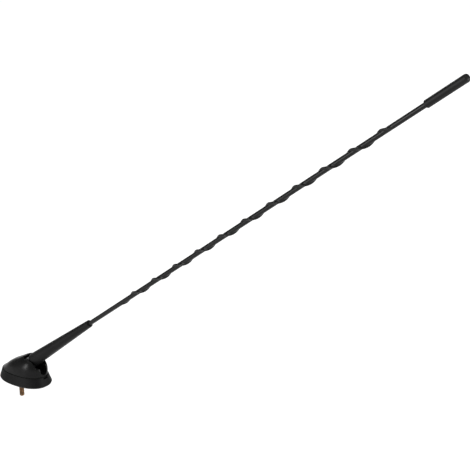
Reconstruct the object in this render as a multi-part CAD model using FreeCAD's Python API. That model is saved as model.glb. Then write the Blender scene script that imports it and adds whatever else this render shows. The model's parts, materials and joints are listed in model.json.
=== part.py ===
import FreeCAD, Part
import math
import os

os.makedirs("parts", exist_ok=True)

# Roof antenna: a folding whip on a small domed base. Lengths are in millimetres.
# The origin is on the stud's axis, in the plane of the gasket's underside.
# X points to the rear, where the mast leans, and Z points up.

# Base outline, a rounded oval seen from above
base_length = 61.4
base_width = 37.4
stud_to_centre = 7.5
outline_power = 2.3

# Heights of the base pieces
gasket_thickness = 1.2
plate_thickness = 2.5
skirt_height = 9.0
cover_height = 19.4

# Skirt and gasket
skirt_draft = 3.0
skirt_wall = 2.6
skirt_rebate_wall = 1.6
gasket_inset = 0.5
plate_clearance = 0.1
drain_width = 6.0
drain_height = 2.3
drain_depth = 1.2

# Cover: a dome with a long front slope and a steep back
cover_step = 0.4
cover_wall = 2.0
front_slope_run = 31.0
back_slope_run = 12.3
crest_half_width = 5.8

# Trough in the cover, in which the mast's foot turns
trough_half_width = 7.75
trough_wall = 2.0
trough_front = 13.4
trough_corner = 3.0
pocket_radius = 7.7
ledge_drop = 0.9
channel_half_width = 4.6
channel_depth = 8.0

# Hinge
pivot_x = 15.1
pivot_z = 20.9
mast_angle = 37.7
pin_diameter = 5.0
pin_length = 15.0
pin_clearance = 0.05
cheek_thickness = 1.4
cheek_spacing = 11.8
cheek_width = 11.0
flange_length = 16.0
friction_washer_thickness = 0.4
friction_washer_radius = 5.0
knuckle_clearance = 0.1
knuckle_radius = 6.8
neck_diameter = 10.4
rivet_diameter = 2.5
rivet_head_diameter = 4.8
rivet_head_height = 1.0
rivet_spacing = 8.0

# Fixing stud
stud_diameter = 5.0
stud_shank_diameter = 5.6
stud_projection = 22.0
stud_chamfer = 0.8
stud_head_width = 8.0
stud_head_height = 3.0
ring_diameter = 10.0
ring_thickness = 1.0
gasket_hole_clearance = 0.6

# Contact strip
strip_thickness = 0.5
strip_width = 5.0
strip_eye_diameter = 10.0
strip_hole_clearance = 0.1
strip_ramp = 1.4
strip_ramp_gap = 0.4

# Cover screws
screw_diameter = 2.5
screw_length = 10.0
screw_head_diameter = 4.8
screw_head_height = 1.2
boss_diameter = 5.6
front_screw_x = -6.0
front_screw_y = 7.0
rear_screw_y = 5.0
boss_clearance = 0.6

# Mast, in stations along its axis from the hinge pin
boot_start = 8.0
boot_end = 107.0
boot_foot_diameter = 14.1
boot_top_diameter = 7.36
boot_edge = 0.6
spigot_diameter = 6.0
spigot_length = 12.0
spigot_end_gap = 1.0
ferrule_diameter = 9.0
ferrule_length = 38.0
solder_depth = 3.0
core_diameter = 3.0
conductor_diameter = 1.0
conductor_tip_gap = 4.0
sleeve_diameter = 4.45
ridge_start = 153.0
ridge_end = 499.0
ridge_pitch = 30.6
ridge_top_station = 330.4
ridge_height = 1.25
ridge_width = 2.6
ridge_root = 0.25
ridge_runout = 16.0
ridge_end_step = 0.15
cap_start = 525.3
cap_length = 39.0
cap_diameter = 6.65
cap_shoulder = 0.8
cap_socket = 22.7
core_socket = 8.0

# Places worked out from the sizes above
base_front = stud_to_centre - base_length / 2
base_rear = stud_to_centre + base_length / 2
half_width = base_width / 2
plate_top = gasket_thickness + plate_thickness
skirt_top = gasket_thickness + skirt_height
cover_top = skirt_top + cover_height
cheek_inside = cheek_spacing / 2
cheek_outside = cheek_inside + cheek_thickness
flange_top = plate_top + cheek_thickness
knuckle_half = cheek_inside - friction_washer_thickness - knuckle_clearance
ledge_top = pivot_z - ledge_drop
trough_floor = ledge_top - channel_depth
ferrule_end = boot_start + ferrule_length
spigot_end = boot_start + spigot_length
core_start = boot_start + spigot_length + spigot_end_gap + solder_depth
rear_screw_x = pivot_x + flange_length / 2 + boss_clearance + boss_diameter / 2
sleeve_start = ferrule_end
sleeve_end = cap_start + cap_socket
core_end = sleeve_end + core_socket
cap_end = cap_start + cap_length


def vec(x, y, z):
    return FreeCAD.Vector(x, y, z)


def save(name, shapes):
    """Write one node's solids to its STEP file."""
    solids = [solid for shape in shapes for solid in shape.Solids]
    Part.makeCompound(solids).exportStep("parts/" + name + ".step")


def oval(front, rear, half, z, points=20):
    """A closed rounded oval from front to rear, at height z."""
    middle = (front + rear) / 2
    length = (rear - front) / 2
    places = []
    for step in range(points):
        turn = 2 * math.pi * step / points
        along = math.copysign(abs(math.cos(turn)) ** (2 / outline_power), math.cos(turn))
        across = math.copysign(abs(math.sin(turn)) ** (2 / outline_power), math.sin(turn))
        places.append(vec(middle + length * along, half * across, z))
    curve = Part.BSplineCurve()
    curve.interpolate(places, PeriodicFlag=True)
    return Part.Wire([curve.toShape()])


def base_oval(inset, z):
    """The base outline moved in by an inset, at height z."""
    return oval(base_front + inset, base_rear - inset, half_width - inset, z)


def skirt_inset(z):
    """How far the drafted skirt has moved in at height z."""
    return skirt_draft * (z - gasket_thickness) / skirt_height


def oval_prism(inset, low, high):
    return Part.Face(base_oval(inset, low)).extrude(vec(0, 0, high - low))


def cylinder(radius, low, high, x=0, y=0):
    return Part.makeCylinder(radius, high - low, vec(x, y, low))


def crosswise(radius, low, high, x, z):
    """A cylinder along Y between two Y values."""
    return Part.makeCylinder(radius, high - low, vec(x, low, z), vec(0, 1, 0))


def block(x0, x1, y0, y1, z0, z1):
    return Part.makeBox(x1 - x0, y1 - y0, z1 - z0, vec(x0, y0, z0))


def turned(profile):
    """Revolve a closed outline of (radius, height) pairs about Z."""
    corners = [vec(radius, 0, height) for radius, height in profile]
    face = Part.Face(Part.makePolygon(corners + corners[:1]))
    return face.revolve(vec(0, 0, 0), vec(0, 0, 1), 360)


def on_mast(shape):
    """Lean a shape made along Z about the pin, and move it to the hinge."""
    leaned = shape.copy()
    leaned.rotate(vec(0, 0, 0), vec(0, 1, 0), 90 - mast_angle)
    leaned.translate(vec(pivot_x, 0, pivot_z))
    return leaned


def cover_levels():
    """Height, front, rear and half width of the cover's sections, from its foot to its crest."""
    foot_inset = skirt_draft + cover_step
    foot_front = base_front + foot_inset
    foot_rear = base_rear - foot_inset
    foot_half = half_width - foot_inset
    shares = [
        (0.00, 0.00, 0.00, 0.00),
        (0.20, 0.16, 0.01, 0.03),
        (0.46, 0.37, 0.07, 0.12),
        (0.69, 0.63, 0.27, 0.31),
        (0.87, 0.85, 0.52, 0.59),
        (1.00, 1.00, 1.00, 1.00),
    ]
    levels = []
    for up, forward, back, sideways in shares:
        levels.append((
            skirt_top + cover_height * up,
            foot_front + front_slope_run * forward,
            foot_rear - back_slope_run * back,
            foot_half - (foot_half - crest_half_width) * sideways,
        ))
    return levels


def oval_stack(levels):
    """A smooth solid through ovals at rising heights."""
    wires = [oval(front, rear, half, z) for z, front, rear, half in levels]
    return Part.makeLoft(wires, True, False)


def channel(half, floor_centre, x0, x1, top):
    """A trough void with a round floor, running along X."""
    left = vec(x0, -half, floor_centre)
    right = vec(x0, half, floor_centre)
    bottom = vec(x0, 0, floor_centre - half)
    outline = Part.Wire([
        Part.Arc(left, bottom, right).toShape(),
        Part.makeLine(right, vec(x0, half, top)),
        Part.makeLine(vec(x0, half, top), vec(x0, -half, top)),
        Part.makeLine(vec(x0, -half, top), left),
    ])
    return Part.Face(outline).extrude(vec(x1 - x0, 0, 0))


def make_gasket():
    pad = oval_prism(gasket_inset, 0, gasket_thickness)
    hole_radius = ring_diameter / 2 + gasket_hole_clearance
    return pad.cut(cylinder(hole_radius, 0, gasket_thickness))


def make_plate():
    """The floor of the base, with holes for the stud, the rivets and the countersunk screws."""
    inset = skirt_inset(plate_top) + skirt_rebate_wall + plate_clearance
    plate = oval_prism(inset, gasket_thickness, plate_top)
    plate = plate.cut(cylinder(stud_shank_diameter / 2, gasket_thickness, plate_top))
    for x in rivet_places():
        plate = plate.cut(cylinder(rivet_diameter / 2, gasket_thickness, plate_top, x))
    for x, y in screw_places():
        plate = plate.cut(screw_at(x, y))
    return plate


def make_skirt():
    """A drafted ring with a rebate below for the plate and a drain notch at the rear."""
    outside = Part.makeLoft([
        base_oval(0, gasket_thickness),
        base_oval(skirt_draft, skirt_top),
    ], True, True)
    hollow = Part.makeLoft([
        base_oval(skirt_inset(plate_top) + skirt_wall, plate_top),
        base_oval(skirt_draft + skirt_wall, skirt_top),
    ], True, True)
    rebate = oval_prism(skirt_inset(plate_top) + skirt_rebate_wall, gasket_thickness, plate_top)
    drain = block(
        base_rear - skirt_draft - drain_depth, base_rear,
        -drain_width / 2, drain_width / 2, skirt_top - drain_height, skirt_top)
    return outside.cut(hollow).cut(rebate).cut(drain)


def screw_places():
    return [
        (front_screw_x, front_screw_y),
        (front_screw_x, -front_screw_y),
        (rear_screw_x, rear_screw_y),
        (rear_screw_x, -rear_screw_y),
    ]


def screw_at(x, y):
    """A countersunk screw whose head is flush with the plate's underside."""
    radius = screw_diameter / 2
    head = Part.makeCone(
        screw_head_diameter / 2, radius, screw_head_height, vec(x, y, gasket_thickness))
    shank = cylinder(radius, gasket_thickness, gasket_thickness + screw_length, x, y)
    return head.fuse(shank).removeSplitter()


def make_cover():
    """The dome, hollow inside, with a trough, a hinge pocket and screw bosses."""
    levels = cover_levels()
    outside = oval_stack(levels)
    inside_levels = [(skirt_top - cover_wall, *levels[0][1:])] + levels[1:]
    hollow = oval_stack([
        (z - cover_wall, front + cover_wall, rear - cover_wall, half - cover_wall)
        for z, front, rear, half in inside_levels
    ])
    top = cover_top + cover_wall
    beyond = base_rear + trough_wall
    trough_side = trough_half_width + trough_wall
    channel_side = channel_half_width + trough_wall
    pocket_front = pivot_x - pocket_radius - trough_wall
    trough = block(
        pocket_front, beyond, -trough_side, trough_side, ledge_top - trough_wall, top)
    trough = trough.fuse(block(
        pocket_front, beyond, -channel_side, channel_side, trough_floor - trough_wall, ledge_top))
    cover = outside.cut(hollow).fuse(trough.common(outside))

    for x, y in screw_places():
        boss = cylinder(boss_diameter / 2, plate_top, cover_top, x, y)
        column = cylinder(boss_diameter / 2, plate_top, skirt_top, x, y)
        cover = cover.fuse(boss.common(outside)).fuse(column)

    slot = block(
        trough_front, beyond, -trough_half_width, trough_half_width, ledge_top, top)
    front_corners = [
        edge for edge in slot.Edges
        if edge.BoundBox.XMax < trough_front + 0.01 and edge.BoundBox.ZLength > 1
    ]
    slot = slot.makeFillet(trough_corner, front_corners)
    void = slot.fuse(channel(
        channel_half_width, trough_floor + channel_half_width, pivot_x, beyond, pivot_z))
    void = void.fuse(crosswise(
        pocket_radius, -trough_half_width, trough_half_width, pivot_x, pivot_z))
    void = void.fuse(block(
        pivot_x - pocket_radius, pivot_x + pocket_radius,
        -trough_half_width, trough_half_width, plate_top, pivot_z))
    cover = cover.cut(void)
    for x, y in screw_places():
        cover = cover.cut(screw_at(x, y))
    return cover.removeSplitter()


def rivet_places():
    return [pivot_x - rivet_spacing / 2, pivot_x + rivet_spacing / 2]


def make_yoke():
    """A pressed bracket: a flange on the plate and two round-topped cheeks."""
    flange = block(
        pivot_x - flange_length / 2, pivot_x + flange_length / 2,
        -cheek_outside, cheek_outside, plate_top, flange_top)
    yoke = flange
    for low in (-cheek_outside, cheek_inside):
        high = low + cheek_thickness
        leg = block(
            pivot_x - cheek_width / 2, pivot_x + cheek_width / 2, low, high, plate_top, pivot_z)
        yoke = yoke.fuse(leg).fuse(crosswise(cheek_width / 2, low, high, pivot_x, pivot_z))
    yoke = yoke.cut(crosswise(
        pin_diameter / 2, -cheek_outside, cheek_outside, pivot_x, pivot_z))
    for x in rivet_places():
        yoke = yoke.cut(cylinder(rivet_diameter / 2, plate_top, flange_top, x))
    return yoke.removeSplitter()


def make_rivets():
    """Rivets from the plate's underside to heads on the contact strip."""
    strip_top = flange_top + strip_thickness
    rivets = []
    for x in rivet_places():
        shank = cylinder(rivet_diameter / 2, gasket_thickness, strip_top, x)
        head = cylinder(rivet_head_diameter / 2, strip_top, strip_top + rivet_head_height, x)
        rivets.append(shank.fuse(head).removeSplitter())
    return rivets


def make_strip():
    """A bent strip from an eye round the stud up on to the yoke's flange."""
    flange_front = pivot_x - flange_length / 2
    ramp_top = flange_front - strip_ramp_gap
    ramp_foot = ramp_top - strip_ramp
    far = pivot_x + flange_length / 2
    lower = [(0, plate_top), (ramp_foot, plate_top), (ramp_top, flange_top), (far, flange_top)]
    upper = [(x, z + strip_thickness) for x, z in reversed(lower)]
    corners = [vec(x, -strip_width / 2, z) for x, z in lower + upper]
    profile = Part.Face(Part.makePolygon(corners + corners[:1]))
    strip = profile.extrude(vec(0, strip_width, 0))
    eye = cylinder(strip_eye_diameter / 2, plate_top, plate_top + strip_thickness)
    strip = strip.fuse(eye)
    hole_radius = stud_shank_diameter / 2 + strip_hole_clearance
    strip = strip.cut(cylinder(hole_radius, plate_top, plate_top + strip_thickness))
    for x in rivet_places():
        strip = strip.cut(cylinder(
            rivet_diameter / 2, flange_top, flange_top + strip_thickness, x))
    return strip.removeSplitter()


def make_stud():
    """A stud with a hexagon head that clamps the strip's eye, and a shank in the plate."""
    radius = stud_diameter / 2
    shank_radius = stud_shank_diameter / 2
    head_seat = plate_top + strip_thickness
    shank = turned([
        (0, -stud_projection),
        (radius - stud_chamfer, -stud_projection),
        (radius, stud_chamfer - stud_projection),
        (radius, 0),
        (shank_radius, 0),
        (shank_radius, head_seat),
        (0, head_seat),
    ])
    corner = stud_head_width / math.sqrt(3)
    corners = []
    for step in range(6):
        turn = math.radians(60 * step)
        corners.append(vec(corner * math.cos(turn), corner * math.sin(turn), head_seat))
    head = Part.Face(Part.makePolygon(corners + corners[:1])).extrude(vec(0, 0, stud_head_height))
    return shank.fuse(head).removeSplitter()


def make_ring():
    """A push-on ring under the plate, inside the gasket's hole."""
    low = gasket_thickness - ring_thickness
    ring = cylinder(ring_diameter / 2, low, gasket_thickness)
    return ring.cut(cylinder(stud_shank_diameter / 2, low, gasket_thickness))


def make_friction_washers():
    washers = []
    for low in (-cheek_inside, cheek_inside - friction_washer_thickness):
        high = low + friction_washer_thickness
        disc = crosswise(friction_washer_radius, low, high, pivot_x, pivot_z)
        washers.append(disc.cut(crosswise(pin_diameter / 2, low, high, pivot_x, pivot_z)))
    return washers


def make_pin():
    return crosswise(pin_diameter / 2, -pin_length / 2, pin_length / 2, pivot_x, pivot_z)


def make_knuckle():
    """A barrel on the pin, a neck, and a spigot for the ferrule, made with the mast along Z."""
    barrel = crosswise(knuckle_radius, -knuckle_half, knuckle_half, 0, 0)
    neck = cylinder(neck_diameter / 2, 0, boot_start)
    spigot = cylinder(spigot_diameter / 2, boot_start, spigot_end)
    bore = crosswise(pin_diameter / 2 + pin_clearance, -knuckle_half, knuckle_half, 0, 0)
    width = block(
        -boot_start, boot_start, -knuckle_half, knuckle_half, -knuckle_radius, boot_start)
    return barrel.fuse(neck.common(width)).fuse(spigot).cut(bore).removeSplitter()


def make_ferrule():
    """A sleeve of metal in the boot: a socket below for the spigot, one above for the core."""
    radius = ferrule_diameter / 2
    socket_end = spigot_end + spigot_end_gap
    return turned([
        (spigot_diameter / 2, boot_start),
        (radius, boot_start),
        (radius, ferrule_end),
        (core_diameter / 2, ferrule_end),
        (core_diameter / 2, core_start),
        (conductor_diameter / 2, core_start),
        (conductor_diameter / 2, socket_end),
        (spigot_diameter / 2, socket_end),
    ])


def make_boot():
    foot = boot_foot_diameter / 2
    top = boot_top_diameter / 2
    return turned([
        (ferrule_diameter / 2, boot_start),
        (foot - boot_edge, boot_start),
        (foot, boot_start + boot_edge),
        (top, boot_end - boot_edge),
        (top - boot_edge, boot_end),
        (sleeve_diameter / 2, boot_end),
        (sleeve_diameter / 2, ferrule_end),
        (ferrule_diameter / 2, ferrule_end),
    ])


def make_core():
    rod = cylinder(core_diameter / 2, core_start, core_end)
    return rod.cut(cylinder(conductor_diameter / 2, core_start, core_end - conductor_tip_gap))


def make_conductor():
    low = spigot_end + spigot_end_gap
    return cylinder(conductor_diameter / 2, low, core_end - conductor_tip_gap)


def ridge_section(z):
    """The ridge's bevelled outline, rooted in the sleeve, where the helix is at height z."""
    radius = sleeve_diameter / 2
    flank = ridge_width / 2 / radius
    turn = math.pi + 2 * math.pi * (z - ridge_top_station) / ridge_pitch
    outline = [
        (-ridge_root, -flank),
        (ridge_height * 0.72, -flank * 0.6),
        (ridge_height, 0),
        (ridge_height * 0.72, flank * 0.6),
        (-ridge_root, flank),
    ]
    corners = []
    for rise, angle in outline:
        distance = radius + rise
        corners.append(vec(
            distance * math.cos(turn + angle), distance * math.sin(turn + angle), z))
    return Part.makePolygon(corners + corners[:1])


def make_ridge():
    """The ridge's section carried up the mast on a helix, running out to the sleeve at both ends."""
    radius = sleeve_diameter / 2
    spine = Part.Wire([Part.makeLine(vec(0, 0, ridge_start), vec(0, 0, ridge_end))])
    guide = Part.makeHelix(ridge_pitch, ridge_end - ridge_start, radius)
    guide.translate(vec(0, 0, ridge_start))
    sweep = Part.BRepOffsetAPI.MakePipeShell(spine)
    sweep.setAuxiliarySpine(Part.Wire(guide.Edges), True, 0)
    sweep.add(ridge_section(ridge_start))
    sweep.build()
    sweep.makeSolid()
    end_radius = radius + ridge_end_step
    full_radius = radius + 2 * ridge_height
    envelope = turned([
        (0, ridge_start),
        (end_radius, ridge_start),
        (full_radius, ridge_start + 2 * ridge_runout),
        (full_radius, ridge_end - 2 * ridge_runout),
        (end_radius, ridge_end),
        (0, ridge_end),
    ])
    return sweep.shape().common(envelope)


def make_sleeve():
    """A tube from the ferrule to the inside of the cap, with the helical ridge on it."""
    tube = cylinder(sleeve_diameter / 2, sleeve_start, sleeve_end).fuse(make_ridge())
    return tube.cut(cylinder(core_diameter / 2, sleeve_start, sleeve_end))


def make_cap():
    """A thicker end with a sloped shoulder, a round nose, and sockets for the sleeve and the core."""
    radius = cap_diameter / 2
    body = turned([
        (0, cap_start),
        (radius - cap_shoulder, cap_start),
        (radius, cap_start + cap_shoulder),
        (radius, cap_end),
        (0, cap_end),
    ])
    rim = [edge for edge in body.Edges if abs(edge.BoundBox.ZMin - cap_end) < 0.01]
    body = body.makeFillet(radius * 0.75, [edge for edge in rim if edge.BoundBox.XLength > radius])
    body = body.cut(cylinder(sleeve_diameter / 2, cap_start, sleeve_end))
    return body.cut(cylinder(core_diameter / 2, sleeve_end, core_end))


save("base_gasket", [make_gasket()])
save("chassis_plate", [make_plate()])
save("base_skirt", [make_skirt()])
save("base_cover", [make_cover()])
save("cover_screws", [screw_at(x, y) for x, y in screw_places()])
save("fixing_stud", [make_stud()])
save("stud_ring", [make_ring()])
save("contact_strip", [make_strip()])
save("hinge_yoke", [make_yoke()])
save("yoke_rivets", make_rivets())
save("hinge_pin", [make_pin()])
save("friction_washers", make_friction_washers())
save("hinge_knuckle", [on_mast(make_knuckle())])
save("mast_ferrule", [on_mast(make_ferrule())])
save("mast_boot", [on_mast(make_boot())])
save("mast_core", [on_mast(make_core())])
save("mast_conductor", [on_mast(make_conductor())])
save("mast_sleeve", [on_mast(make_sleeve())])
save("tip_cap", [on_mast(make_cap())])
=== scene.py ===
# %% [markdown]
# # A roof antenna with a tilting mast
# The solids of this antenna come from CAD: a domed base, a hinge in its trough, and a long mast with
# a boot, a ridged whip and a tip cap. This lesson dresses them. It loads the solids as a fixed frame,
# sets the camera and the light, gives every piece a finish made of nodes, and models three pieces
# again with more detail: the cover of the base, the threaded stud and the sleeve of the whip.

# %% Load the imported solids
import json
import math

import bpy
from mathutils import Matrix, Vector


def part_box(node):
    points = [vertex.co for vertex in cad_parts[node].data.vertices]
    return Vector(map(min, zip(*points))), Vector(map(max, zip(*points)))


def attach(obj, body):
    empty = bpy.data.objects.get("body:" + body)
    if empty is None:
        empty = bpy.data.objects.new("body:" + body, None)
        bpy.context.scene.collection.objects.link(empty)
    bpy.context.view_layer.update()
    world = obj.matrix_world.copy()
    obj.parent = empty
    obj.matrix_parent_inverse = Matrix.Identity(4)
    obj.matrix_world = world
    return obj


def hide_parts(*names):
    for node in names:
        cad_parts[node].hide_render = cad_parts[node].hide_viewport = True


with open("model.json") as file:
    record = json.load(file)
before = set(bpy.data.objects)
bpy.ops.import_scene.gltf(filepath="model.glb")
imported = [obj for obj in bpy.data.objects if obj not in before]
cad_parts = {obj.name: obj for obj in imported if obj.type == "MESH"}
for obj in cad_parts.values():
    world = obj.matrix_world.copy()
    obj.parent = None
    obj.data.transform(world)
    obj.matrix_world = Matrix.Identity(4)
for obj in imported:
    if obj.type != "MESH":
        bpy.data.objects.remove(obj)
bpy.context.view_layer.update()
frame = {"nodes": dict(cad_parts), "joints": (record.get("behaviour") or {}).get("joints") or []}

# %% [markdown]
# ## Sizes and helpers that the pieces share
# The scene is in metres, in the frame of the solids: the origin is on the stud's axis, in the plane of
# the gasket's underside, X points to the rear, where the mast leans, and Z points up. The mast turns
# about the hinge pin, so its pieces are easiest to make upright at the origin, with their height as
# the distance from the pin, and leaned into place at the end.
#
# An operator acts on all that is selected, so every step starts with nothing selected and takes up the
# piece that it works on.

# %% Sizes and small helpers
MM = 0.001
hinge = [float(number) for number in frame["joints"][0]["pos_m"]]
near = 0.01 * MM
mast_angle = 37.7
lean = math.radians(90 - mast_angle)


def start_fresh():
    """Leave edit mode with nothing selected."""
    if bpy.context.mode != "OBJECT":
        bpy.ops.object.mode_set(mode="OBJECT")
    bpy.ops.object.select_all(action="DESELECT")


def take_up(piece):
    """Select one piece alone and make it the active one."""
    start_fresh()
    piece.select_set(True)
    bpy.context.view_layer.objects.active = piece


def join_into(target, others):
    """Make other pieces a part of the target."""
    start_fresh()
    for piece in (*others, target):
        piece.select_set(True)
    bpy.context.view_layer.objects.active = target
    bpy.ops.object.join()


def pick_edges(mesh_object, wanted):
    """In edit mode, select the edges whose two ends pass a test of their place."""
    bpy.ops.mesh.select_all(action="DESELECT")
    bpy.ops.mesh.select_mode(type="EDGE")
    bpy.ops.object.mode_set(mode="OBJECT")
    mesh = mesh_object.data
    for edge in mesh.edges:
        first, second = (mesh.vertices[index].co for index in edge.vertices)
        edge.select = wanted(first) and wanted(second)
    bpy.ops.object.mode_set(mode="EDIT")


def dress(piece, finish):
    """Give a new piece its one finish."""
    piece.data.materials.clear()
    piece.data.materials.append(finish)


def count_triangles(mesh_object):
    """How many triangles the faces of a piece make."""
    return sum(len(face.vertices) - 2 for face in mesh_object.data.polygons)


print("hinge pin at", [round(number, 4) for number in hinge])

# %% [markdown]
# ## Camera
# A photograph of a product is usually taken from a metre or more with a long lens, so the far end of
# the mast is hardly smaller than the near end. The place, tilt and lens here were solved from points
# that can be recognised on the real antenna: both ends of the mast, the bumps of its ridge, the base's
# outline and the stud.

# %% Set up the camera
look_down = 19.829
look_left = 32.272
camera_data = bpy.data.cameras.new("view")
camera_data.lens = 77.6
camera_data.sensor_width = 36
camera = bpy.data.objects.new("view", camera_data)
camera.location = (0.70016, -0.68584, 0.50257)
camera.rotation_euler = (math.radians(90 - look_down), 0, math.radians(look_left))
bpy.context.scene.collection.objects.link(camera)
bpy.context.scene.camera = camera
print("camera with a lens of", round(camera_data.lens, 1), "mm")

# %% [markdown]
# ## Floor and light
# The real antenna stands before plain white. A very wide floor does the same here: it runs past the
# top of the picture, so there is no horizon. The pieces are nearly black, and what one sees on them is
# mostly the reflection of what is around, so the light is what gives them their form: a large panel
# above, a tall one at the left for the sheen on the dome, a low one at the right for the rear faces,
# and one behind that outlines the dome.

# %% Make the floor
floor_radius = 40
floor_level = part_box("fixing_stud")[0].z
start_fresh()
bpy.ops.mesh.primitive_circle_add(
    vertices=64, radius=floor_radius, fill_type="NGON", location=(0, 0, floor_level))
floor = bpy.context.object
floor.name = "floor"
bpy.ops.object.transform_apply(location=True)
print("floor at", round(floor_level, 4))

# %% Set up the light
scene = bpy.context.scene
scene.view_settings.view_transform = "Standard"
world = bpy.data.worlds.new("studio")
world.use_nodes = True
surroundings = world.node_tree.nodes["Background"]
surroundings.inputs["Color"].default_value = (1, 1, 1, 1)
surroundings.inputs["Strength"].default_value = 0.08
scene.world = world


def soft_panel(name, place, target, width, height, power):
    """A rectangular light that faces a target."""
    data = bpy.data.lights.new(name, "AREA")
    data.shape = "RECTANGLE"
    data.size = width
    data.size_y = height
    data.energy = power
    panel = bpy.data.objects.new(name, data)
    panel.location = place
    away = panel.location - Vector(target)
    panel.rotation_euler = away.to_track_quat("Z", "Y").to_euler()
    scene.collection.objects.link(panel)


soft_panel(
    "top_panel", place=(0.15, -0.4, 2.6), target=(0.2, 0, 0), width=2.4, height=2.4, power=30)
soft_panel(
    "left_panel", place=(-0.62, -1.7, 0.5), target=(0.02, 0, 0.02), width=0.3, height=1.0, power=32)
soft_panel(
    "right_panel", place=(1.6, 0.2, 0.35), target=(0.03, 0, 0.02), width=0.6, height=0.6, power=24)
soft_panel(
    "back_panel", place=(-0.9, 1.7, 1.0), target=(0.05, 0, 0.03), width=1.6, height=1.0, power=20)
print("four panels of light")

# %% [markdown]
# ## A short way to write shader sums
# Finishes are made of nodes, and node graphs are long to write out. One small class wraps the output
# of a node, so that a sum such as `0.4 + 0.1 * grain` adds the Math nodes itself. Its `node` method
# makes any other node: it takes the type, the settings and what feeds the sockets.

# %% A socket that takes part in sums
class Signal:
    """A node's output that can be used in Python sums."""

    def __init__(self, tree, socket):
        self.tree = tree
        self.socket = socket

    def node(self, kind, settings, feeds, output):
        """Add a node, set it up, feed its sockets and give back one of its outputs."""
        made = self.tree.nodes.new(kind)
        for name, value in settings.items():
            if name == "stops":
                for element, (place, tint) in zip(made.color_ramp.elements, value):
                    element.position = place
                    element.color = tint
            else:
                setattr(made, name, value)
        for name, value in feeds.items():
            if isinstance(value, Signal):
                self.tree.links.new(value.socket, made.inputs[name])
            else:
                made.inputs[name].default_value = value
        return Signal(self.tree, made.outputs[output])

    def sum(self, operation, first, second):
        return self.node("ShaderNodeMath", {"operation": operation}, {0: first, 1: second}, 0)

    def __add__(self, other):
        return self.sum("ADD", self, other)

    def __radd__(self, other):
        return self.sum("ADD", other, self)

    def __mul__(self, other):
        return self.sum("MULTIPLY", self, other)

    def __rmul__(self, other):
        return self.sum("MULTIPLY", other, self)


print("sums of sockets are ready")

# %% [markdown]
# ## Patterns that the finishes share
# Every finish starts from Object coordinates, which are metres here, so a pattern has a real size.
# On the mast a pattern should follow the mast, so a Mapping node turns the coordinates upright first.

# %% Helpers for finishes
noise_roughness = 0.55


def new_finish(name):
    """A new material, its shader and its Object coordinates."""
    material = bpy.data.materials.new(name)
    material.use_nodes = True
    tree = material.node_tree
    shader = tree.nodes["Principled BSDF"]
    coordinates = tree.nodes.new("ShaderNodeTexCoord")
    return material, shader, Signal(tree, coordinates.outputs["Object"])


def feed(shader, name, value):
    """Link a signal to one of the shader's sockets."""
    value.tree.links.new(value.socket, shader.inputs[name])


def upright(place):
    """Coordinates along the mast: the hinge is the origin and Z runs up the mast."""
    return place.node(
        "ShaderNodeMapping", {"vector_type": "TEXTURE"},
        {"Vector": place, "Location": hinge, "Rotation": (0, lean, 0)}, "Vector")


def stretched(place, factors):
    """Coordinates squeezed or stretched along X, Y and Z."""
    return place.node(
        "ShaderNodeMapping", {}, {"Vector": place, "Scale": factors}, "Vector")


def speckle(place, size, detail):
    """Noise from 0 to 1 whose lumps are about as big as size, in metres."""
    return place.node(
        "ShaderNodeTexNoise", {},
        {"Vector": place, "Scale": 1 / size, "Detail": detail, "Roughness": noise_roughness}, "Fac")


def tinted(value, first, second, ends=(0.3, 0.7)):
    """A colour that goes from one tint to another between two ends of a value."""
    stops = list(zip(ends, (first, second)))
    return value.node("ShaderNodeValToRGB", {"stops": stops}, {"Fac": value}, "Color")


def between(limits, share):
    """A number that goes from a low to a high limit with a share from 0 to 1."""
    low, high = limits
    return low + (high - low) * share


def raised(height, depth):
    """A bump of a real depth, in metres."""
    return height.node(
        "ShaderNodeBump", {}, {"Height": height, "Distance": depth, "Strength": 1.0}, "Normal")


def grey(level):
    """A neutral colour."""
    return (level, level, level, 1)


def wear(node_name, material):
    """Put a finish on one of the CAD solids."""
    for slot in frame["nodes"][node_name].material_slots:
        slot.material = material


print("finish helpers are ready")

# %% [markdown]
# ## Black plastics
# The cover, skirt, boot, sleeve and cap are all black, but not the same black. The cover is smooth and
# satin, the skirt has the fine dull grain of an etched mould, the boot is a little softer than the
# cover, and the cap is a greyer, rubbery plastic. A single maker of finishes takes those differences
# as numbers: two close tints in faint clouds, a range of roughness, a shine, and a grain with a real
# depth. On the mast the clouds and the grain are drawn out along the whip.

# %% Plastic finishes
plastic_cloud = 11 * MM
drawn_out = (1, 1, 0.35)


def moulded_plastic(name, tints, roughness, shine, grain, depth, along_mast=False):
    """Black plastic with faint clouds in its tint and a fine moulded grain."""
    material, shader, place = new_finish(name)
    if along_mast:
        place = stretched(upright(place), drawn_out)
    clouds = speckle(place, plastic_cloud, 3)
    fine = speckle(place, grain, 2)
    feed(shader, "Base Color", tinted(clouds, grey(tints[0]), grey(tints[1])))
    feed(shader, "Roughness", between(roughness, 0.5 * clouds + 0.5 * fine))
    feed(shader, "Normal", raised(fine, depth))
    shader.inputs["Specular IOR Level"].default_value = shine
    return material


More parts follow.
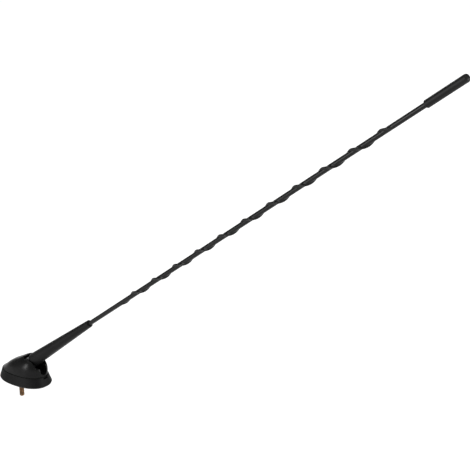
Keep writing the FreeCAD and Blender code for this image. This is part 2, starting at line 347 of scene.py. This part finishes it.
cover_finish = moulded_plastic(
    "satin_cover", tints=(0.006, 0.010), roughness=(0.25, 0.33), shine=0.07,
    grain=0.4 * MM, depth=0.004 * MM)
skirt_finish = moulded_plastic(
    "grained_skirt", tints=(0.0025, 0.005), roughness=(0.50, 0.64), shine=0.075,
    grain=0.45 * MM, depth=0.03 * MM)
boot_finish = moulded_plastic(
    "satin_boot", tints=(0.002, 0.004), roughness=(0.36, 0.48), shine=0.115,
    grain=0.4 * MM, depth=0.008 * MM, along_mast=True)
sleeve_finish = moulded_plastic(
    "whip_sleeve", tints=(0.002, 0.004), roughness=(0.34, 0.48), shine=0.2,
    grain=0.5 * MM, depth=0.01 * MM, along_mast=True)
cap_finish = moulded_plastic(
    "dull_cap", tints=(0.0045, 0.008), roughness=(0.46, 0.60), shine=0.16,
    grain=0.5 * MM, depth=0.012 * MM, along_mast=True)
wear("base_skirt", skirt_finish)
wear("mast_boot", boot_finish)
wear("tip_cap", cap_finish)
print("five black plastics")

# %% [markdown]
# ## Rubber and nylon
# The gasket is dull foam rubber with fine pores. The chassis plate inside is dark nylon, and the
# friction washers are a pale, smoother kind.

# %% Rubber and nylon finishes
pores_per_metre = 1800.0
nylon_grain = 0.3 * MM


def foam_rubber(name):
    """Dull black rubber with pores."""
    material, shader, place = new_finish(name)
    pores = place.node(
        "ShaderNodeTexVoronoi", {}, {"Vector": place, "Scale": pores_per_metre}, "Distance")
    clouds = speckle(place, 6 * MM, 3)
    feed(shader, "Base Color", tinted(clouds, grey(0.006), grey(0.011)))
    feed(shader, "Roughness", between((0.74, 0.90), clouds))
    feed(shader, "Normal", raised(pores, 0.06 * MM))
    return material


def nylon(name, tint, roughness):
    """Cloudy nylon with light passing a little way in."""
    material, shader, place = new_finish(name)
    clouds = speckle(place, 4 * MM, 3)
    fine = speckle(place, nylon_grain, 2)
    paler = tuple(channel * 1.12 for channel in tint)
    feed(shader, "Base Color", tinted(clouds, (*tint, 1), (*paler, 1)))
    feed(shader, "Roughness", roughness + 0.12 * fine)
    feed(shader, "Normal", raised(fine, 0.01 * MM))
    shader.inputs["Subsurface Weight"].default_value = 0.2
    shader.inputs["Subsurface Scale"].default_value = 1.5 * MM
    return material


wear("base_gasket", foam_rubber("foam_gasket"))
wear("chassis_plate", nylon("plate_nylon", tint=(0.045, 0.045, 0.047), roughness=0.45))
wear("friction_washers", nylon("washer_nylon", tint=(0.62, 0.58, 0.48), roughness=0.38))
print("gasket, plate and washers have their finishes")

# %% [markdown]
# ## Metals
# The stud is brass that has dulled to brown. Inside the base are zinc-plated steel, a bronze contact
# strip, a ground pin and a dark die-cast knuckle. In the mast are a brass ferrule and a copper
# conductor. They differ in tint, in how evenly they shine and in their marks: turned parts have fine
# rings, drawn and ground parts have lines, and plated parts have a faint mottled bloom.

# %% Metal finishes
tarnish_cloud = 3 * MM
mark_size = 0.25 * MM
tarnish_ends = (0.38, 0.72)
turned_rings = (0.05, 0.05, 1.0)
drawn_lines = (0.05, 1.0, 1.0)
even_marks = (1.0, 1.0, 1.0)


def worked_metal(name, tint, tarnish, roughness, marks, depth):
    """Metal with a tarnish in clouds and fine tool marks along one direction."""
    material, shader, place = new_finish(name)
    clouds = speckle(place, tarnish_cloud, 4)
    lines = speckle(stretched(place, marks), mark_size, 2)
    feed(shader, "Base Color", tinted(clouds, (*tint, 1), (*tarnish, 1), tarnish_ends))
    feed(shader, "Roughness", between(roughness, 0.6 * clouds + 0.4 * lines))
    feed(shader, "Normal", raised(lines, depth))
    shader.inputs["Metallic"].default_value = 1.0
    return material


brass_finish = worked_metal(
    "stud_brass", tint=(0.33, 0.22, 0.135), tarnish=(0.20, 0.135, 0.085),
    roughness=(0.30, 0.48), marks=turned_rings, depth=0.004 * MM)
zinc_finish = worked_metal(
    "zinc_plate", tint=(0.62, 0.63, 0.66), tarnish=(0.48, 0.50, 0.55),
    roughness=(0.28, 0.44), marks=even_marks, depth=0.004 * MM)
pin_finish = worked_metal(
    "ground_pin", tint=(0.58, 0.57, 0.56), tarnish=(0.50, 0.49, 0.48),
    roughness=(0.18, 0.28), marks=drawn_lines, depth=0.002 * MM)
bronze_finish = worked_metal(
    "contact_bronze", tint=(0.60, 0.33, 0.17), tarnish=(0.42, 0.22, 0.11),
    roughness=(0.25, 0.40), marks=drawn_lines, depth=0.003 * MM)
knuckle_finish = worked_metal(
    "dark_knuckle", tint=(0.055, 0.055, 0.058), tarnish=(0.035, 0.035, 0.037),
    roughness=(0.38, 0.52), marks=even_marks, depth=0.01 * MM)
ferrule_finish = worked_metal(
    "ferrule_brass", tint=(0.72, 0.50, 0.22), tarnish=(0.55, 0.36, 0.15),
    roughness=(0.24, 0.38), marks=drawn_lines, depth=0.003 * MM)
copper_finish = worked_metal(
    "bare_copper", tint=(0.80, 0.38, 0.24), tarnish=(0.60, 0.26, 0.15),
    roughness=(0.22, 0.36), marks=drawn_lines, depth=0.002 * MM)
for node_name in ("cover_screws", "stud_ring", "hinge_yoke", "yoke_rivets"):
    wear(node_name, zinc_finish)
wear("hinge_pin", pin_finish)
wear("contact_strip", bronze_finish)
wear("hinge_knuckle", knuckle_finish)
wear("mast_ferrule", ferrule_finish)
wear("mast_conductor", copper_finish)
print("seven metals")

# %% [markdown]
# ## Glass fibre core
# The whip's core is a rod of glass fibre in resin. The fibres all run along the rod, so its pattern is
# noise that is drawn out a hundred times along the mast.

# %% Core finish
fibre_size = 0.15 * MM
fibre_stretch = (1, 1, 0.01)
core_finish, core_shader, core_place = new_finish("fibre_core")
fibres = speckle(stretched(upright(core_place), fibre_stretch), fibre_size, 3)
feed(core_shader, "Base Color", tinted(fibres, (0.42, 0.40, 0.30, 1), (0.62, 0.60, 0.48, 1)))
feed(core_shader, "Roughness", between((0.35, 0.55), fibres))
feed(core_shader, "Normal", raised(fibres, 0.008 * MM))
wear("mast_core", core_finish)
print("one fibre finish")

# %% [markdown]
# ## Floor finish
# The floor is seen as plain white everywhere, in the shade of the antenna too, so its white is mostly
# a light of its own. Under it is a grey that sends little of the panels' light back up, because a
# floor brighter than white would show in the black plastics. Faint clouds keep the grey from being
# one flat colour.

# %% Floor finish
floor_cloud = 0.8
floor_finish, floor_shader, floor_place = new_finish("pale_floor")
haze = speckle(floor_place, floor_cloud, 2)
feed(floor_shader, "Base Color", tinted(haze, grey(0.16), grey(0.18)))
floor_shader.inputs["Roughness"].default_value = 0.9
floor_shader.inputs["Specular IOR Level"].default_value = 0.0
floor_shader.inputs["Emission Color"].default_value = (1, 1, 1, 1)
floor_shader.inputs["Emission Strength"].default_value = 1.0
dress(floor, floor_finish)
print("a white floor")

# %% [markdown]
# ## Cover with softened edges
# The solid of the cover has sharp edges at the rim of its trough and at its foot. A moulded cover has
# none: every edge is rounded by half a millimetre or more, and the rims catch the light. Bevelling
# them one by one is difficult on a mesh of long triangles, so a merged copy of the cover is rebuilt
# as a fine even mesh by a voxel Remesh modifier, and a Smooth modifier then wears the edges down. A
# vertex group keeps the foot out of most of it, so that the cover still sits close on the skirt.
#
# On the solid, the round pocket of the hinge cuts through the dome in two thin slits, one at each
# front corner of the trough. A moulded cover is closed there, so two small wedges go under each slit
# before the rebuild, which melts them into the wall.

# %% Copy the cover
merge_distance = 0.001 * MM
cover = frame["nodes"]["base_cover"].copy()
cover.data = cover.data.copy()
cover.parent = None
cover.name = "moulded_cover"
scene.collection.objects.link(cover)
take_up(cover)
bpy.ops.object.mode_set(mode="EDIT")
bpy.ops.mesh.select_all(action="SELECT")
bpy.ops.mesh.remove_doubles(threshold=merge_distance)
start_fresh()
print("a copy of the cover with", count_triangles(cover), "triangles")

# %% [markdown]
# Each wedge is a cube whose corners are moved. The four upper corners, in millimetres, lie just under
# the dome. They are given for the side at +Y, and are found by two questions about a corner of the
# cube: is it at the rear, and is it on the outer side? The wedges at -Y are their mirror images.

# %% Close the slits with wedges
wedge_thickness = 1.2
front_wedge = {
    (False, False): (9.8, 6.3, 27.60),
    (False, True): (9.8, 8.0, 26.78),
    (True, False): (13.2, 6.3, 28.92),
    (True, True): (13.2, 8.0, 27.96),
}
rear_wedge = {
    (False, False): (12.6, 7.2, 28.27),
    (False, True): (12.6, 8.0, 27.78),
    (True, False): (14.8, 7.46, 28.55),
    (True, True): (14.8, 8.0, 28.27),
}
wedges = []
for side in (-1, 1):
    for corners in (front_wedge, rear_wedge):
        start_fresh()
        bpy.ops.mesh.primitive_cube_add(size=2)
        wedge = bpy.context.object
        for point in wedge.data.vertices:
            x, y, z = corners[point.co.x > 0, point.co.y * side > 0]
            if point.co.z < 0:
                z -= wedge_thickness
            point.co = (x * MM, side * y * MM, z * MM)
        wedges.append(wedge)
join_into(cover, wedges)
print(len(wedges), "wedges joined to the cover")

# %% Rebuild the cover
voxel = 0.42 * MM
foot_margin = 0.9 * MM
rounds_all_over = 3
rounds_above_foot = 10


def wear_down(piece, rounds, group=""):
    """Smooth the active piece, or one group of its points, a number of times."""
    softening = piece.modifiers.new("softening", "SMOOTH")
    softening.vertex_group = group
    softening.factor = 0.5
    softening.iterations = rounds
    bpy.ops.object.modifier_apply(modifier="softening")


take_up(cover)
rebuilding = cover.modifiers.new("rebuilding", "REMESH")
rebuilding.mode = "VOXEL"
rebuilding.voxel_size = voxel
bpy.ops.object.modifier_apply(modifier="rebuilding")
wear_down(cover, rounds_all_over)
foot_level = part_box("base_skirt")[1].z + foot_margin
above_foot = [point.index for point in cover.data.vertices if point.co.z > foot_level]
cover.vertex_groups.new(name="above_foot").add(above_foot, 1.0, "ADD")
wear_down(cover, rounds_above_foot, "above_foot")
bpy.ops.object.shade_smooth()
dress(cover, cover_finish)
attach(cover, "base")
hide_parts("base_cover")
print("cover rebuilt with", count_triangles(cover), "triangles")

# %% [markdown]
# ## Threaded stud
# The solid of the stud is plain, because a real thread is too fine for the CAD model. Here it gets its
# thread, a 5 mm one with a pitch of 0.8 mm. One tooth is drawn as an open outline of three edges, and
# a Screw modifier winds it up the stud. Both ends are then cut square with Bisect, which also closes
# them, and the lower end is turned down to a chamfer. A shank and a hexagon head inside the base
# complete it.

# %% Draw one tooth
pitch = 0.8 * MM
crest = 2.5 * MM
root = 2.03 * MM
crest_start = 0.44 * pitch
crest_end = 0.56 * pitch
stud_low = floor_level
start_fresh()
bpy.ops.mesh.primitive_plane_add(size=2 * MM, location=(0, 0, 0))
stud = bpy.context.object
stud.name = "threaded_stud"
tooth = [(root, 0), (crest, crest_start), (root, pitch), (crest, crest_end)]
for point, (distance, height) in zip(stud.data.vertices, tooth):
    point.co = (distance, 0, stud_low - pitch + height)
bpy.ops.object.mode_set(mode="EDIT")
bpy.ops.mesh.select_all(action="SELECT")
bpy.ops.mesh.delete(type="ONLY_FACE")
pick_edges(stud, lambda place: place.x < root + near)
bpy.ops.mesh.delete(type="EDGE")
start_fresh()
print("a tooth of", len(stud.data.edges), "edges")

# %% Wind it into a thread
spare_turns = 2
turns = math.ceil(-stud_low / pitch) + spare_turns
steps_per_turn = 30
cut_margin = 0.0001 * MM


def cut_square(level, direction):
    """In edit mode, cut off all that lies past a level, up or down, and close the cut."""
    bpy.ops.mesh.select_all(action="SELECT")
    bpy.ops.mesh.bisect(
        plane_co=(0, 0, level), plane_no=(0, 0, direction), use_fill=True, clear_outer=True,
        threshold=cut_margin)


winding = stud.modifiers.new("winding", "SCREW")
winding.axis = "Z"
winding.angle = 2 * math.pi
winding.screw_offset = pitch
winding.iterations = turns
winding.steps = steps_per_turn
winding.render_steps = steps_per_turn
winding.use_merge_vertices = True
winding.merge_threshold = merge_distance
take_up(stud)
bpy.ops.object.modifier_apply(modifier="winding")
bpy.ops.object.mode_set(mode="EDIT")
bpy.ops.mesh.select_all(action="SELECT")
bpy.ops.mesh.remove_doubles(threshold=2 * merge_distance)
cut_square(stud_low, -1)
cut_square(0, 1)
bpy.ops.mesh.select_all(action="SELECT")
bpy.ops.mesh.normals_make_consistent(inside=False)
start_fresh()
print("a thread of", turns, "turns and", count_triangles(stud), "triangles")

# %% Turn down the lower end
chamfer = 0.8 * MM
for point in stud.data.vertices:
    reach = math.hypot(point.co.x, point.co.y)
    allowed = crest - max(0.0, chamfer - (point.co.z - stud_low))
    if reach > allowed:
        point.co.x *= allowed / reach
        point.co.y *= allowed / reach
print("chamfer of", chamfer / MM, "mm")

# %% Add the shank and the hexagon head
shank_radius = 2.8 * MM
head_across_flats = 8 * MM
head_bevel = 0.35 * MM
strip_thickness = 0.5 * MM
head_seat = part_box("contact_strip")[0].z + strip_thickness
head_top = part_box("fixing_stud")[1].z
start_fresh()
bpy.ops.mesh.primitive_cylinder_add(
    vertices=40, radius=shank_radius, depth=head_seat, location=(0, 0, head_seat / 2))
shank = bpy.context.object
bpy.ops.object.transform_apply(location=True)
start_fresh()
bpy.ops.mesh.primitive_cylinder_add(
    vertices=6, radius=head_across_flats / math.sqrt(3), depth=head_top - head_seat,
    location=(0, 0, (head_top + head_seat) / 2), rotation=(0, 0, math.radians(30)))
head = bpy.context.object
bpy.ops.object.transform_apply(location=True, rotation=True)
bpy.ops.object.mode_set(mode="EDIT")
pick_edges(head, lambda place: place.z > head_top - near)
bpy.ops.mesh.bevel(offset=head_bevel, segments=2)
join_into(stud, (shank, head))
bpy.ops.object.shade_smooth_by_angle(angle=math.radians(25))
dress(stud, brass_finish)
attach(stud, "base")
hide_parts("fixing_stud")
print("stud finished with", count_triangles(stud), "triangles")

# %% [markdown]
# ## Sleeve of the whip
# The ridge that winds up the whip is there to break up the wind, which would otherwise make the whip
# hum. On the solid it is a bevelled ridge. On the real whip it is a soft swelling of the sleeve, as of
# a wire under a shrunk tube. So the points of a round section are pushed out on one side, and a Screw
# modifier carries the section up the whip.

# %% Draw the section
sleeve_radius = 2.225 * MM
core_radius = 1.5 * MM
ridge_height = 1.25 * MM
ridge_pitch = 30.6 * MM
ridge_low = 153 * MM
ridge_high = 499 * MM
ridge_on_top_level = 330.4 * MM
half_swelling = 0.70
swelling_power = 1.3
start_turn = math.pi + 2 * math.pi * (ridge_low - ridge_on_top_level) / ridge_pitch
start_fresh()
bpy.ops.mesh.primitive_circle_add(vertices=48, radius=sleeve_radius, location=(0, 0, 0))
sleeve = bpy.context.object
sleeve.name = "ridged_sleeve"
for point in sleeve.data.vertices:
    angle = math.atan2(point.co.y, point.co.x)
    share = min(1.0, abs(angle) / half_swelling)
    reach = sleeve_radius + ridge_height * math.cos(share * math.pi / 2) ** swelling_power
    turned = angle + start_turn
    point.co = (reach * math.cos(turned), reach * math.sin(turned), ridge_low)
print("a section of", len(sleeve.data.vertices), "points")

# %% Wind it up the whip
ridge_runout = 16 * MM
ridge_turns = (ridge_high - ridge_low) / ridge_pitch
ridge_steps_per_turn = 36
rise = sleeve.modifiers.new("rise", "SCREW")
rise.axis = "Z"
rise.angle = 2 * math.pi * ridge_turns
rise.screw_offset = ridge_high - ridge_low
rise.iterations = 1
rise.steps = round(ridge_steps_per_turn * ridge_turns)
rise.render_steps = rise.steps
take_up(sleeve)
bpy.ops.object.modifier_apply(modifier="rise")
for point in sleeve.data.vertices:
    reach = math.hypot(point.co.x, point.co.y)
    share = min(point.co.z - ridge_low, ridge_high - point.co.z) / ridge_runout
    share = max(0.0, min(1.0, share))
    ease = share * share * (3 - 2 * share)
    factor = (sleeve_radius + (reach - sleeve_radius) * ease) / reach
    point.co.x *= factor
    point.co.y *= factor
print("a ridge of", round(ridge_turns, 2), "turns")

# %% Add the plain ends and the bore
sleeve_low = 46 * MM
sleeve_high = 548 * MM
bore_share = core_radius / sleeve_radius
bpy.ops.object.mode_set(mode="EDIT")
for level, end in ((ridge_low, sleeve_low), (ridge_high, sleeve_high)):
    pick_edges(sleeve, lambda place: abs(place.z - level) < near)
    bpy.ops.mesh.extrude_region_move(TRANSFORM_OT_translate={"value": (0, 0, end - level)})
    bpy.ops.mesh.extrude_region_move(TRANSFORM_OT_translate={"value": (0, 0, 0)})
    bpy.ops.transform.resize(value=(bore_share, bore_share, 1), center_override=(0, 0, end))
pick_edges(sleeve, lambda place: math.hypot(place.x, place.y) < core_radius + near)
bpy.ops.mesh.bridge_edge_loops()
bpy.ops.mesh.select_all(action="SELECT")
bpy.ops.mesh.normals_make_consistent(inside=False)
start_fresh()
print("sleeve closed with", count_triangles(sleeve), "triangles")

# %% Lean it into place
take_up(sleeve)
sleeve.rotation_euler = (0, lean, 0)
sleeve.location = hinge
bpy.ops.object.transform_apply(location=True, rotation=True)
bpy.ops.object.shade_smooth_by_angle(angle=math.radians(40))
dress(sleeve, sleeve_finish)
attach(sleeve, "mast")
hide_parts("mast_sleeve")
print("sleeve finished")
